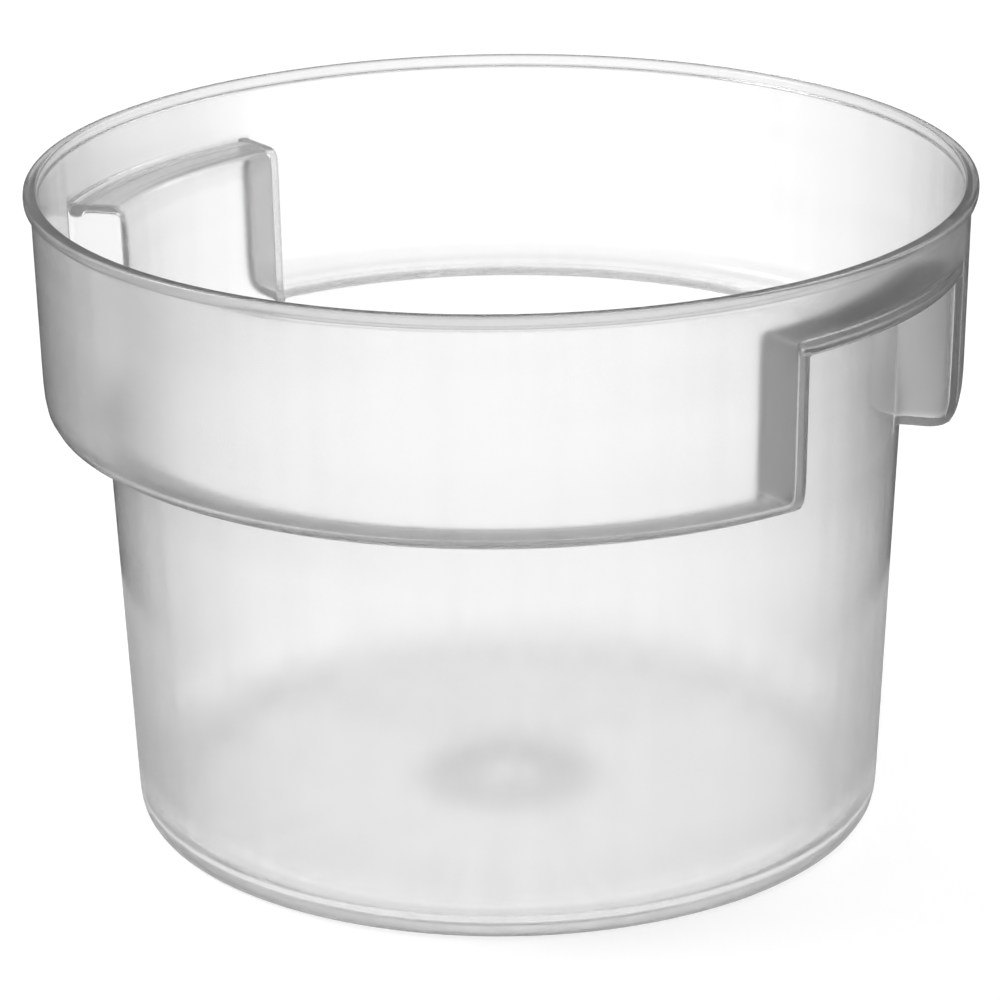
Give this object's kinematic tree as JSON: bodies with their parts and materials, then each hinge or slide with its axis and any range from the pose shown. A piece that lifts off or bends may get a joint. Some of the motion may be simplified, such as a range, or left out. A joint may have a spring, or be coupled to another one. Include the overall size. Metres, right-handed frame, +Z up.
{
  "type": "bain marie container",
  "caption": "Round translucent food container: a tapered tub, a wider collar that hangs in a bain marie well, a beaded rim and hand-holds cut in under it on opposite sides.",
  "frame": {"origin": "centre of the standing face, on the container's axis", "axes": "+Z up along the container's axis; the two hand-holds lie on +X and -X; -Y is the plain front"},
  "size_m": [0.306, 0.306, 0.2135],
  "materials": {
    "translucent_polypropylene": "natural polypropylene, milky and see-through, with a fine satin gloss"
  },
  "bodies": {
    "root": {"gate_dish": "translucent_polypropylene", "floor_panel": "translucent_polypropylene", "standing_ring": "translucent_polypropylene", "tub_wall": "translucent_polypropylene", "step_front": "translucent_polypropylene", "step_back": "translucent_polypropylene", "collar_front": "translucent_polypropylene", "collar_back": "translucent_polypropylene", "hold_panel_left": "translucent_polypropylene", "hold_panel_right": "translucent_polypropylene", "hold_ceiling_left": "translucent_polypropylene", "hold_ceiling_right": "translucent_polypropylene", "hold_corner_left_front": "translucent_polypropylene", "hold_corner_left_back": "translucent_polypropylene", "hold_corner_right_front": "translucent_polypropylene", "hold_corner_right_back": "translucent_polypropylene", "hold_cap_left_front": "translucent_polypropylene", "hold_cap_left_back": "translucent_polypropylene", "hold_cap_right_front": "translucent_polypropylene", "hold_cap_right_back": "translucent_polypropylene", "hold_cheek_left_front": "translucent_polypropylene", "hold_cheek_left_back": "translucent_polypropylene", "hold_cheek_right_front": "translucent_polypropylene", "hold_cheek_right_back": "translucent_polypropylene", "hold_bend_left_front": "translucent_polypropylene", "hold_bend_left_back": "translucent_polypropylene", "hold_bend_right_front": "translucent_polypropylene", "hold_bend_right_back": "translucent_polypropylene", "grip_lip_left": "translucent_polypropylene", "grip_lip_right": "translucent_polypropylene", "grip_band_left": "translucent_polypropylene", "grip_band_right": "translucent_polypropylene", "rim_bead": "translucent_polypropylene"}
  },
  "joints": []
}
